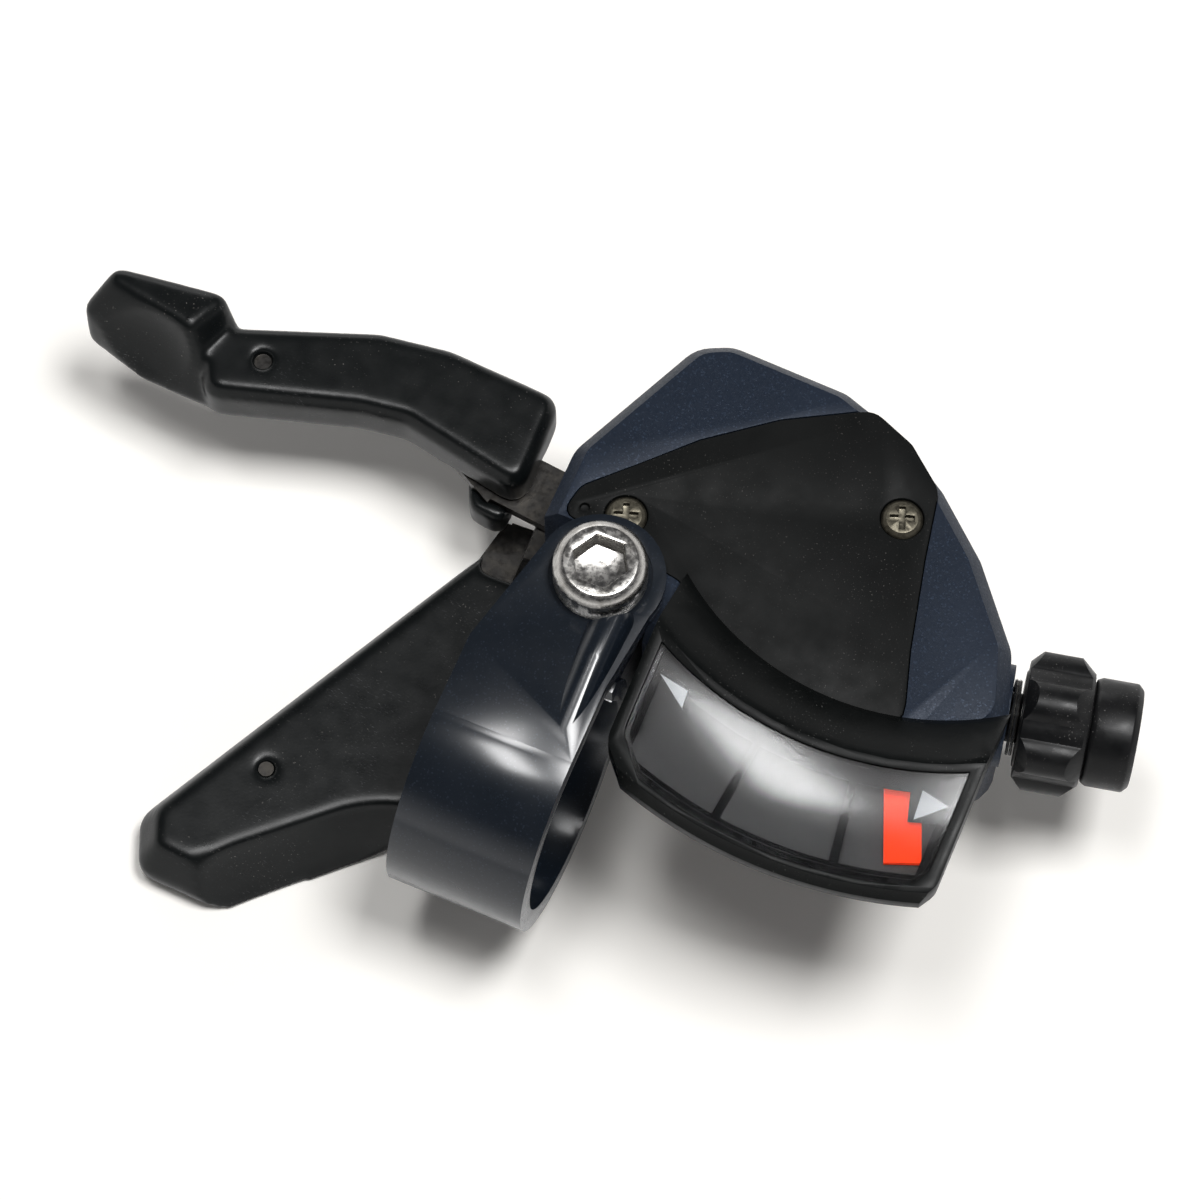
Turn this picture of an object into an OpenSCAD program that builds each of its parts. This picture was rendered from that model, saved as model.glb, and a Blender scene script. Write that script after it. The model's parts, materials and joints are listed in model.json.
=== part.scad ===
// Trigger shifter for a flat handlebar, with a gear window, a thumb lever and a release lever.
// The origin is the middle of the bar clamp. +X runs along the bar towards the cable adjuster,
// +Y towards the mechanism, and +Z out of the cover.

/* [Bar clamp] */
// Diameter of the handlebar
bar_d = 22.2; // [22:0.1:22.6]
// Gap between the bar and the band, on the radius
bar_gap = 0.05; // [0.02:0.01:0.1]
// Thickness of the band and of its ears
band_t = 2.35; // [2:0.05:2.8]
// Width of the band along the bar
band_w = 14.4; // [12:0.2:16]
// Place of the clamp bolt along the bar
bolt_x = 2.1; // [0:0.1:3]
// Distance of the clamp bolt from the bar's axis
bolt_y = 18.7; // [18.4:0.1:19]
// Diameter of the clamp bolt's thread
bolt_d = 5; // [4:0.1:6]
// Diameter of the clamp bolt's head
bolt_head_d = 9.4; // [8.5:0.1:10]
// Height of the clamp bolt's head
bolt_head_h = 4; // [3:0.1:5]
// Size of the hexagon socket, across its flats
bolt_socket = 5; // [4:0.1:5.5]
// Space between the two ears
ear_space = 3; // [2:0.1:4]
// Radius of the upper ear's round end
ear_r = 6.5; // [6:0.1:7]

/* [Casing] */
// Height of the casing, from its lower edge to its top face
case_h = 20.2; // [19.8:0.1:21]
// Thickness of the casing's side walls
wall = 1.8; // [1.4:0.1:2.2]
// Thickness of the casing's roof
roof_t = 2.2; // [2:0.1:2.6]
// Width of the slanted rim round the top face
rim_w = 1.5; // [0.8:0.1:2]
// Height of the slanted rim
rim_h = 2.2; // [1:0.1:3]
// Thickness of the base plate under the casing
base_t = 1.6; // [1.2:0.1:2.4]
// Thickness of the black cover plate
cover_t = 1.4; // [1:0.1:1.6]
// Diameter of the cover screws' heads
screw_head_d = 4.2; // [3.6:0.1:4.6]

/* [Window] */
// Width of the window unit along the bar
window_w = 34.8; // [33:0.2:37]
// Height of the window's ridge over the casing's top face
ridge_h = 5.4; // [5.2:0.1:6.4]
// Thickness of the clear lens
lens_t = 1; // [0.8:0.1:1.1]
// Width of the indicator's flag
flag_w = 3.6; // [2.5:0.1:5]

/* [Mechanism] */
// Radius of the main axle
axle_r = 3; // [2.5:0.1:3.4]
// Running clearance of all pivots, on the radius
run = 0.05; // [0.03:0.01:0.08]
// Radius at which the cable lies on the spool
cable_r = 9.3; // [9:0.1:9.5]
// Diameter of the inner cable
cable_d = 1.2; // [1:0.1:1.6]
// Number of teeth on the spool's ratchet, counted round a full turn
ratchet_n = 14; // [12:1:18]
// Teeth of the spool's pinion
pinion_n = 16; // [16:1:16]
// Teeth of the indicator's gear, counted round a full turn
sector_n = 20; // [20:1:20]
// Thickness of the thumb lever's steel plate
thumb_plate_t = 1.6; // [1.2:0.1:1.6]
// Thickness of the release lever's steel plate
release_plate_t = 1.3; // [1:0.1:1.3]

/* [Levers] */
// Height of the thumb lever's moulding
thumb_h = 7; // [6:0.1:8]
// Height of the release lever's moulding
release_h = 7; // [6:0.1:7.5]
// Rounding of the mouldings' edges
paddle_round = 1.4; // [0.8:0.1:1.8]

/* [Cable adjuster] */
// Diameter of the barrel's thread
thread_d = 5; // [4.6:0.1:5.4]
// Diameter of the barrel's outer end
barrel_d = 11; // [10:0.1:11.4]
// Diameter of the lobed collar
grip_d = 14.2; // [13:0.1:15]
// Number of lobes on the collar
grip_lobes = 6; // [5:1:8]
// Diameter of the socket for the cable casing
socket_d = 5.2; // [5:0.1:6.2]
// Depth of the socket for the cable casing
socket_depth = 7; // [5:0.5:8]

/* [Hidden] */
$fn = 64;
e = 0.01;

// Heights, from the band down to the base
band_ri = bar_d / 2 + bar_gap;
band_ro = band_ri + band_t;
ear_gap = 0.35;
top_z = band_ri - ear_gap;
roof_z = top_z - roof_t;
floor_z = top_z - case_h;
base_z = floor_z - base_t;
low_ear_top = band_ro - band_t - ear_space;
low_ear_z = low_ear_top - band_t - 0.25;
cover_z = top_z - cover_t;

// Section of the window unit, as radius from arc_c and height
ridge_z = top_z + ridge_h;
bezel_low_z = band_ri + 0.45;
lens_drop = 1.9;
lip_z = ridge_z - lens_drop + 0.1;
bezel_ri = 28.4;
ridge_r = bezel_ri + 6.5;
lens_r0 = ridge_r + 0.8;
lens_r1 = 46.4;
bezel_ro = lens_r1 + 1.6;
seat_d = 1.2;
fit = 0.05;

// Heights of the mechanism, from the base plate up
layer = 0.2;
thumb_z = floor_z + layer;
release_z = thumb_z + thumb_plate_t + 0.3;
ratchet_z = release_z + release_plate_t + 0.4;
ratchet_t = 2.2;
pawl_z = ratchet_z + 0.1;
pawl_t = ratchet_t - 0.2;
pawl_spring_h = 1.6;
pin_top = pawl_z + pawl_t + pawl_spring_h;
spool_flange_z = pin_top + 0.1;
flange_t = 0.7;
groove_w = cable_d + 1;
groove_z = spool_flange_z + flange_t + groove_w / 2;
spool_r = cable_r + 0.9;
spool_top_z = groove_z + groove_w / 2 + flange_t;
gear_t = 1.6;
arm_t = 0.9;
bead = 0.12;
gear_z = roof_z - gear_t - arm_t - 1.3;
arm_z = gear_z + gear_t;
flag_z = bezel_low_z + 0.9;
flag_t = 0.5;

// Places in plan
bolt = [bolt_x, bolt_y];
axle = [16.3, 29.4];
left_screw = [1.5, 26.6];
right_screw = [26.9, 37];
post_r = 2.2;
base_screw_places = [[37, 31.5], [6, 43.5]];
arc_c = [27.8, 45];
window_x0 = 9.5;
pawl_r = 13;
pull_angle = 5;
hold_angle = 108;
pin_r = 1;

// Outline of the casing, clockwise from the corner beside the clamp
case_front_r = 32.5;
function on_arc(x, r) = [x, arc_c.y - sqrt(r * r - pow(x - arc_c.x, 2))];
case_outline = [[-6.3, 17.5], [-6.3, 32], [0.6, 47.2], [4, 48.8], [16.5, 48.4], [23, 46.2], [29.4, 42.1],
    [35.6, 36.6], [41.9, 28.8], [44.6, 20.8], [37.5, 13.9], on_arc(31, case_front_r),
    on_arc(24, case_front_r), on_arc(17, case_front_r), on_arc(9, case_front_r + 1)];

// The notch in the casing that leaves room for the ears and the clamp boss
notch_x = 7.9;
low_ear_r = 5.2;
notch_r = low_ear_r + 0.25;
notch_wall = 1.5;
notch_y = bolt_y + notch_r;
module notch(grow) {
    translate([-20, -20]) square([20 + bolt.x, 20 + notch_y + grow]);
    translate([-20, -20]) square([20 + notch_x + grow, 20 + bolt.y]);
    translate(bolt) circle(r = notch_r + grow);
}

// A convex clockwise outline moved inwards by d
function unit(v) = v / norm(v);
function turn(v) = [v.y, -v.x];
function meet(p, u, q, v) = p + u * ((q - p).x * v.y - (q - p).y * v.x) / (u.x * v.y - u.y * v.x);
function inset(pts, d) = [for (i = [0:len(pts) - 1])
    let (n = len(pts), a = pts[(i + n - 1) % n], b = pts[i], c = pts[(i + 1) % n],
        u = unit(b - a), v = unit(c - b))
    meet(a + turn(u) * d, u, b + turn(v) * d, v)];

// The same outline with its corners rounded to radius r
function rounded(pts, r, steps = 4) = [for (i = [0:len(pts) - 1])
    let (n = len(pts), a = pts[(i + n - 1) % n], b = pts[i], c = pts[(i + 1) % n],
        u = unit(a - b), v = unit(c - b), half = acos(u * v) / 2,
        d = min(r / tan(half), norm(a - b) * 0.45, norm(c - b) * 0.45))
    for (k = [0:steps])
        let (t = k / steps)
        b + u * d * pow(1 - t, 2) + v * d * pow(t, 2)];

function polar(r, a) = [r * cos(a), r * sin(a)];

module at(p, z = 0) translate([p.x, p.y, z]) children();

module tube(r_out, r_in, h) {
    difference() {
        cylinder(r = r_out, h = h);
        translate([0, 0, -1]) cylinder(r = r_in, h = h + 2);
    }
}

// A coil of round wire round the Z axis
module coil(r, wire_r, height, turns, sides = 6, per_turn = 20) {
    steps = round(turns * per_turn);
    ring = [for (k = [0:sides - 1]) polar(wire_r, 360 * k / sides)];
    pts = [for (i = [0:steps], s = ring)
        let (a = 360 * turns * i / steps)
        [(r + s.x) * cos(a), (r + s.x) * sin(a), wire_r + (height - 2 * wire_r) * i / steps + s.y]];
    walls = [for (i = [0:steps - 1], k = [0:sides - 1])
        let (j = (k + 1) % sides)
        each [[i * sides + k, (i + 1) * sides + k, (i + 1) * sides + j],
            [i * sides + k, (i + 1) * sides + j, i * sides + j]]];
    start = [for (k = [0:sides - 1]) k];
    end = [for (k = [0:sides - 1]) (steps + 1) * sides - 1 - k];
    polyhedron(points = pts, faces = concat(walls, [start, end]));
}

// A flat gear with true flanks, pitch radius n * m / 2
function involute(rb, r) = let (t = sqrt(max(0, r * r / rb / rb - 1))) t * 180 / PI - atan(t);
module gear(n, m, slack) {
    rp = n * m / 2;
    rb = rp * cos(20);
    ro = rp + 0.8 * m;
    rr = rp - 1.05 * m;
    half = 90 / n - slack / rp * 90 / PI;
    radii = [max(rb, rr), (rb + rp) / 2, rp, (rp + ro) / 2, ro];
    base_a = half + involute(rb, rp);
    polygon([for (i = [0:n - 1])
        let (c = 360 * i / n)
        each concat([polar(rr, c - base_a)],
            [for (r = radii) polar(r, c - base_a + involute(rb, r))],
            [for (k = [4:-1:0]) polar(radii[k], c + base_a - involute(rb, radii[k]))],
            [polar(rr, c + base_a)])]);
}

// A cross recess, as cut into the screws' heads
module cross_recess(size, depth) {
    for (a = [0, 90]) rotate(a + 20)
        translate([-size / 2, -size * 0.13, -depth]) cube([size, size * 0.26, depth + 1]);
}

module base_bracket() {
    color("dimgray") difference() {
        union() {
            translate([0, 0, base_z]) linear_extrude(base_t) difference() {
                polygon(rounded(inset(case_outline, 0.4), 3));
                translate([-20, 0]) square([20 + bolt.x - 3.5, notch_y]);
                translate([0, 0]) square([notch_x, bolt.y - 2]);
            }
            at(bolt, base_z) cylinder(r = 4.4, h = low_ear_z - base_z);
            at(right_screw, base_z) cylinder(r = post_r, h = cover_z - base_z);
            at(right_screw, gear_z - 1.3) cylinder(r = post_r + 0.8, h = 1.2);
        }
        at(bolt, base_z - 1) cylinder(r = bolt_d / 2, h = 40);
        at(right_screw, base_z + 6) cylinder(r = 1.1, h = 30);
        at(axle, base_z - 1) cylinder(r = axle_r, h = 10);
        at(axle + polar(pawl_r, hold_angle), base_z - 1) cylinder(r = pin_r, h = 10);
        for (p = base_screw_places) at(p, base_z - 1) cylinder(r = 1.25, h = 10);
    }
}

module base_screws() {
    color("silver") for (p = base_screw_places) at(p, base_z) {
        difference() {
            translate([0, 0, -1.3]) cylinder(r = 2, h = 1.3);
            translate([0, 0, -1.3]) rotate([180, 0, 0]) cross_recess(2.2, 0.8);
        }
        cylinder(r = 1.15, h = 8);
    }
}

module clamp_band() {
    bolt_hole = bolt_d / 2 + 0.25;
    color("#2b3240") difference() {
        union() {
            rotate([90, 0, 90]) translate([0, 0, -band_w / 2]) difference() {
                cylinder(r = band_ro, h = band_w, $fn = 128);
                translate([0, low_ear_top, -1]) cube([band_ro + 1, band_ro, band_w + 2]);
            }
            translate([0, 0, band_ri]) linear_extrude(band_t) polygon(upper_ear);
            translate([0, 0, low_ear_z]) linear_extrude(low_ear_top - low_ear_z) polygon(lower_ear);
            ear_rib();
        }
        rotate([90, 0, 90]) translate([0, 0, -band_w]) cylinder(r = band_ri, h = band_w * 2, $fn = 128);
        translate([-band_w, 0, low_ear_top]) cube([band_w * 2, 40, ear_space]);
        translate([-band_w, 0, low_ear_z + 0.4]) cube([band_w * 2, 9.6, band_ri - low_ear_z - 0.4]);
        at(bolt, -20) cylinder(r = bolt_hole, h = 60);
        at(bolt, band_ro - 0.3) cylinder(r = bolt_head_d / 2 + 0.45, h = 10);
    }
}
ear_arc = [for (a = [170:-10:-20]) bolt + polar(ear_r, a)];
ear_start = -0.4;
upper_ear = concat([[-band_w / 2, ear_start], [-band_w / 2, 8]], ear_arc,
    [[band_w / 2, 8], [band_w / 2, ear_start]]);
lower_ear = concat([[-band_w / 2 + 1, 8]], [for (a = [180:-12:0]) bolt + polar(low_ear_r, a)],
    [[band_w / 2 - 0.5, 8]]);

// The rib beside the bolt's head, which fades into the band
rib_r = 2.2;
rib_h = 1.7;
module ear_rib() {
    hull() {
        translate([band_w / 2 - rib_r, bolt.y - 3.9, band_ro + rib_h - rib_r]) sphere(r = rib_r, $fn = 32);
        translate([band_w / 2 - rib_r, bolt.y - 3.9, band_ri + 0.4]) cylinder(r = rib_r, h = 1, $fn = 32);
        translate([band_w / 2 - rib_r, 10.5, band_ro + rib_h - rib_r]) sphere(r = rib_r * 0.9, $fn = 32);
        translate([band_w / 2 - rib_r, 2, band_ro - 1.6]) sphere(r = 1.5, $fn = 32);
    }
}

bolt_seat = 0.3;
bolt_l = band_ro - bolt_seat - base_z - 2.2;
module clamp_bolt() {
    color("gainsboro") at(bolt, band_ro - bolt_seat) difference() {
        union() {
            rotate_extrude() polygon([[0, 0], [bolt_head_d / 2, 0], [bolt_head_d / 2, bolt_head_h - 1.1],
                [bolt_head_d / 2 - 0.35, bolt_head_h - 0.45], [bolt_head_d / 2 - 1, bolt_head_h],
                [0, bolt_head_h]]);
            translate([0, 0, -bolt_l]) cylinder(r = bolt_d / 2 - 0.02, h = bolt_l + e);
        }
        translate([0, 0, bolt_head_h - 2.6]) cylinder(d = bolt_socket / cos(30), h = 5, $fn = 6);
    }
}

// Space over the roof that the indicator's arm sweeps
sweep = 2 * 360 / ratchet_n * pinion_n / sector_n;
flag_rest = -68.6;
arc_shift = arc_c.y - right_screw.y;
arm_r0 = bezel_ri + 1.5 - arc_shift;
arm_r1 = lens_r0 - 1.4 - arc_shift;
flag_r0 = arm_r1 + 1.6;
flag_l = lens_r1 - 1.6 - arc_shift - flag_r0;
module arm_sweep() {
    at(right_screw) rotate([0, 0, flag_rest - sweep - 6]) rotate_extrude(angle = sweep + 12)
        polygon([[arm_r0 - 0.4, arm_z - 0.5], [arm_r0 + 0.4, arm_z - 0.5], [arm_r1 + 0.4, flag_z - 0.5],
            [arm_r1 + 20, flag_z - 0.5], [arm_r1 + 20, flag_z + 10], [arm_r0 - 0.4, flag_z + 10]]);
}

adj_p = [42.25, 25.4];
adj_a = 12;
module along_adjuster(x) translate([adj_p.x, adj_p.y, groove_z]) rotate([0, 0, adj_a])
    rotate([0, 90, 0]) translate([0, 0, x]) children();

module housing() {
    color("#2c3a52") difference() {
        union() {
            hull() {
                translate([0, 0, floor_z]) linear_extrude(case_h - rim_h)
                    polygon(rounded(case_outline, 4));
                translate([0, 0, floor_z]) linear_extrude(case_h)
                    polygon(rounded(inset(case_outline, rim_w), 3));
            }
            along_adjuster(-3) cylinder(r = 5.2, h = 4.2);
        }
        difference() {
            translate([0, 0, floor_z - 1]) linear_extrude(roof_z - floor_z + 1)
                polygon(rounded(inset(case_outline, wall), 3));
            translate([0, 0, floor_z - 2]) linear_extrude(case_h + 4) notch(notch_wall);
            at(left_screw, ratchet_z + 1) cylinder(r = 2.3, h = case_h);
            for (p = base_screw_places) at(p, floor_z - 2) cylinder(r = 2.2, h = case_h);
        }
        translate([0, 0, floor_z - 1]) linear_extrude(case_h + 2) notch(0);
        translate([-20, 0, floor_z - 1]) cube([27.5, 60, ratchet_z + 0.3 - floor_z + 1]);
        translate([0, 0, cover_z]) linear_extrude(10) polygon(rounded(cover_outline, 2.5));
        translate([0, 0, roof_z - 1]) linear_extrude(10) intersection() {
            polygon(rounded(inset(cover_outline, 2.2), 2));
            translate([6.5, 0]) square(60);
        }
        arm_sweep();
        at(right_screw, floor_z) cylinder(r = post_r + 0.1, h = case_h);
        at(left_screw, ratchet_z + 3) cylinder(r = 1.1, h = case_h);
        for (p = base_screw_places) at(p, floor_z - 1) cylinder(r = 1.2, h = 10);
        along_adjuster(-12) cylinder(r = thread_d / 2 + run, h = 20);
    }
}
cover_outline = [[-4.6, notch_y + 0.3], [-3.9, 27.9], [0.7, 32.5], [5.1, 37.1], [11.7, 42.3], [20, 47],
    [24.9, 45], [29.2, 41.4], [30.7, 33.7], [32.9, 24.2], [35.3, 16.2], [28, 14.9], [18, 16.3],
    [9, notch_y - 2]];

dimple = [-2.6, 25.8];
module cover_plate() {
    color("#17181a") difference() {
        translate([0, 0, cover_z]) linear_extrude(cover_t) polygon(rounded(inset(cover_outline, 0.08), 2.5));
        translate([0, 0, cover_z - 1]) linear_extrude(10) notch(0.2);
        at(dimple, top_z - 0.5) cylinder(r = 0.5, h = 2);
        for (p = [left_screw, right_screw]) {
            at(p, cover_z - 1) cylinder(r = 1.25, h = 10);
            at(p, top_z - 0.7) cylinder(r = screw_head_d / 2 + 0.1, h = 5);
        }
    }
}

module cover_screws() {
    color("#5b564a") for (p = [left_screw, right_screw]) at(p, top_z - 0.7) {
        difference() {
            rotate_extrude() polygon([[0, 0], [screw_head_d / 2, 0], [screw_head_d / 2, 0.45],
                [screw_head_d / 2 - 0.5, 0.85], [0, 1.05]]);
            translate([0, 0, 1]) cross_recess(2.5, 0.8);
        }
        translate([0, 0, -6.5]) cylinder(r = 1.05, h = 6.5);
    }
}

// A point of the lens at radius r, at depth d under its outer face
function slope(r, d) = [r, ridge_z - 0.25 - d - (r - ridge_r) * lens_drop / (lens_r1 + 1 - ridge_r)];

module window_prism(d, z0 = 0, z1 = 30) {
    x0 = window_x0 + d;
    x1 = window_x0 + window_w - d;
    low = arc_c.y - bezel_ro + d;
    front = [[x0, 30], [x1, 30], [x1, low + 4.3], [x1 - 2.5, low], [x0 + 5, low], [x0, low + 5.8]];
    translate([0, 0, z0]) linear_extrude(z1 - z0) polygon(rounded(front, 2.5));
}

module window_ring(section) {
    at(arc_c) rotate([0, 0, -135]) rotate_extrude(angle = 90, $fn = 160) polygon(section);
}

module window_bezel() {
    color("#101112") difference() {
        intersection() {
            window_ring([[bezel_ri, top_z], [bezel_ri + 1, top_z + 1.3], [ridge_r - 0.8, ridge_z - 0.3],
                [ridge_r, ridge_z], [lens_r1 + 1, lip_z + 0.1], [bezel_ro - 0.5, lip_z - 0.6], [bezel_ro, lip_z - 1.4],
                [bezel_ro, bezel_low_z], [ridge_r - 1, bezel_low_z], [ridge_r - 1.8, top_z]]);
            window_prism(0);
        }
        intersection() {
            window_ring([[bezel_ri + 1.6, top_z - 1], [bezel_ri + 1.6, top_z + 0.6], [ridge_r - 0.4, ridge_z - 1.5],
                [lens_r0 + 0.6, ridge_z - 0.6], [lens_r1 - 0.6, lip_z - 0.4], [lens_r1 - 0.6, bezel_low_z + 0.6],
                [ridge_r - 0.2, bezel_low_z + 0.6], [ridge_r - 0.8, top_z - 1]]);
            window_prism(seat_d + 0.4);
        }
        intersection() {
            window_ring([slope(lens_r0, lens_t), slope(lens_r0, -3), slope(lens_r1 + 0.4, -3),
                slope(lens_r1 + 0.4, lens_t)]);
            window_prism(seat_d);
        }
    }
}

module window_lens() {
    color("lightgray", 0.5) intersection() {
        window_ring([slope(lens_r0 + fit, 0), slope(lens_r1 + 0.4 - fit, 0), slope(lens_r1 + 0.4 - fit, lens_t),
            slope(lens_r0 + fit, lens_t)]);
        window_prism(seat_d + fit);
    }
}

gear_m = 2 * norm(right_screw - axle) / (pinion_n + sector_n);
backlash = 0.12;
sector_r = gear_m * (sector_n / 2 + 0.8);
mesh_a = atan2(right_screw.y - axle.y, right_screw.x - axle.x);

module indicator_arm() {
    color("#ff2a12") at(right_screw) {
        difference() {
            union() {
                translate([0, 0, gear_z]) linear_extrude(gear_t) intersection() {
                    rotate(mesh_a + 180 + 180 / sector_n) gear(sector_n, gear_m, backlash);
                    polygon(concat([[0, 0]], [for (a = [-36, 18, 72]) polar(20, mesh_a + 180 + a)]));
                }
                translate([0, 0, gear_z]) cylinder(r = post_r + 0.95, h = gear_t + arm_t + bead);
                rotate([0, 0, flag_rest]) rotate([90, 0, 0]) translate([0, 0, -1.5]) linear_extrude(3)
                    polygon([[0, arm_z - 2 * bead], [sector_r, arm_z - 2 * bead], [sector_r + 0.6, arm_z],
                        [arm_r0, arm_z], [arm_r1, flag_z], [arm_r1 + 3.6, flag_z],
                        [arm_r1 + 3.6, flag_z + flag_t], [arm_r1 - 0.4, flag_z + flag_t],
                        [arm_r0 - 0.4, arm_z + arm_t], [0, arm_z + arm_t]]);
                rotate([0, 0, flag_rest]) translate([flag_r0, -flag_w / 2, flag_z - bead / 2])
                    cube([flag_l, flag_w, flag_t + bead]);
            }
            cylinder(r = post_r + run, h = 20);
        }
    }
}

// The axle, held from below by a washer and a nut
washer_t = 0.6;
nut_h = 2.4;
nut_r = axle_r + 1.6;
axle_head_r = axle_r + 1.4;
axle_head_t = 1;
slot_w = 0.8;
module main_axle() {
    low = base_z - washer_t - nut_h - 0.2;
    color("silver") at(axle) {
        translate([0, 0, low]) cylinder(r = axle_r - 0.02, h = arm_z + 0.4 - low);
        translate([0, 0, arm_z + 0.1]) difference() {
            cylinder(r = axle_head_r, h = axle_head_t);
            translate([-axle_head_r - 1, -slot_w / 2, axle_head_t / 2])
                cube([2 * axle_head_r + 2, slot_w, axle_head_t]);
        }
    }
}

module axle_washer() {
    color("silver") at(axle, base_z - washer_t) tube(axle_r + 2, axle_r, washer_t);
}

module axle_nut() {
    color("silver") at(axle, base_z - washer_t - nut_h) difference() {
        cylinder(r = nut_r, h = nut_h, $fn = 6);
        translate([0, 0, -1]) cylinder(r = axle_r, h = nut_h + 2);
    }
}

// The cap under the base, and the thumb lever's spring in it
cap_r = 11.2;
cap_h = 4.4;
cap_wall = 1.2;
cap_rim = 0.6;
cap_edge = 0.8;
cap_floor = 0.4;
spring_wire_r = 0.45;
module spring_cap() {
    color("#1a1b1d") at(axle, base_z - cap_h) difference() {
        union() {
            cylinder(r = cap_r, h = cap_h);
            translate([0, 0, cap_h - 1]) cylinder(r = cap_r + cap_rim, h = 1);
            translate([0, 0, -cap_edge]) cylinder(r1 = cap_r - cap_wall, r2 = cap_r, h = cap_edge + e);
        }
        translate([0, 0, cap_floor]) cylinder(r = cap_r - cap_wall, h = cap_h);
    }
}

module thumb_spring() {
    color("silver") at(axle, base_z - cap_h + cap_floor + 0.4)
        coil(cap_r - 3.2, spring_wire_r, cap_h - cap_floor - 0.7, 3);
}

module cable_spool() {
    tip = cable_r + 0.3;
    root = tip - 1.2;
    color("lightslategray") at(axle) difference() {
        union() {
            translate([0, 0, ratchet_z]) linear_extrude(ratchet_t)
                polygon([for (i = [0:ratchet_n - 1])
                    let (pitch = 360 / ratchet_n, a = i * pitch)
                    each [polar(root, a), polar(root + 0.6, a + 0.5 * pitch),
                        polar(tip, a + 0.92 * pitch), polar(tip, a + 0.99 * pitch)]]);
            translate([0, 0, ratchet_z]) cylinder(r = 7, h = spool_top_z - ratchet_z);
            translate([0, 0, spool_flange_z]) rotate_extrude($fn = 96)
                polygon([[0, 0], [spool_r, 0], [spool_r, flange_t],
                    [cable_r - cable_d / 2, flange_t + 0.4],
                    [cable_r - cable_d / 2, flange_t + groove_w - 0.4],
                    [spool_r, flange_t + groove_w], [spool_r, 2 * flange_t + groove_w],
                    [0, 2 * flange_t + groove_w]]);
            translate([0, 0, spool_top_z - e]) cylinder(r = 4.6, h = gear_z - spool_top_z + 2 * e);
            translate([0, 0, gear_z]) linear_extrude(gear_t) rotate(mesh_a) gear(pinion_n, gear_m, backlash);
        }
        translate([0, 0, ratchet_z - 1]) cylinder(r = axle_r + run, h = 30);
        rotate([0, 0, 200]) translate([cable_r - 1.6, 0, groove_z - 1.3]) cylinder(r = 1.7, h = 3.2);
    }
}

// The thumb lever: its plate turns on the axle, drops outside the base and carries the moulding
thumb_a = 182;
thumb_in_r = 24.6;
thumb_top = -band_ro - 0.4;
thumb_low_z = thumb_top - 3;
module thumb_lever_plate() {
    pin = polar(pawl_r, pull_angle);
    color("silver") difference() {
        union() {
            at(axle, thumb_z) {
                cylinder(r = 8, h = thumb_plate_t);
                linear_extrude(thumb_plate_t) hull_free(pin, 2.6);
                rotate([0, 0, thumb_a]) translate([0, -3.2, 0]) cube([thumb_in_r, 6.4, thumb_plate_t]);
            }
            at(axle) rotate([0, 0, thumb_a]) rotate([90, 0, 0]) translate([0, 0, -3.1]) linear_extrude(6.2)
                polygon([[thumb_in_r - 1.6, thumb_z + bead], [thumb_in_r, thumb_z + bead],
                    [thumb_in_r + 1.4, thumb_low_z + bead], [thumb_in_r + 5, thumb_low_z + bead],
                    [thumb_in_r + 5, thumb_low_z + thumb_plate_t - bead],
                    [thumb_in_r + 2.6, thumb_low_z + thumb_plate_t - bead],
                    [thumb_in_r + 1.2, thumb_z + thumb_plate_t - bead],
                    [thumb_in_r - 1.6, thumb_z + thumb_plate_t - bead]]);
            translate([0, 0, thumb_low_z]) linear_extrude(thumb_plate_t)
                polygon([[-9.3, 31], [-8.6, 24.6], [-23, -6], [-28, -3], [-15.2, 25], [-14, 31.2]]);
        }
        at(axle, thumb_z - 1) cylinder(r = axle_r + run, h = 10);
        at(axle + pin, thumb_z - 1) cylinder(r = pin_r, h = 10);
    }
}

// A flat lug from the axle to a pin
module hull_free(p, r) {
    a = atan2(p.y, p.x);
    translate(p) circle(r = r);
    rotate(a) translate([0, -0.85 * r]) square([norm(p), 1.7 * r]);
}

// Its moulding: corners as [x, y, radius], at the lower and the upper level
thumb_foot = [[-10.8, 29, 2.6], [-33.6, -13.2, 2.4], [-32.4, -16, 2.4], [-24, -16.2, 2.4], [-18.6, -12, 2.4],
    [-6.4, 5, 2.5], [-5.4, 22, 3]];
thumb_crown = [[-10.8, 29, 2.6], [-32.8, -12.6, 1.8], [-32, -15.2, 1.6], [-29.4, -15.6, 1.4],
    [-13.4, -4.6, 1.6], [-6.8, 8, 2.5], [-5.4, 22, 3]];

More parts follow.
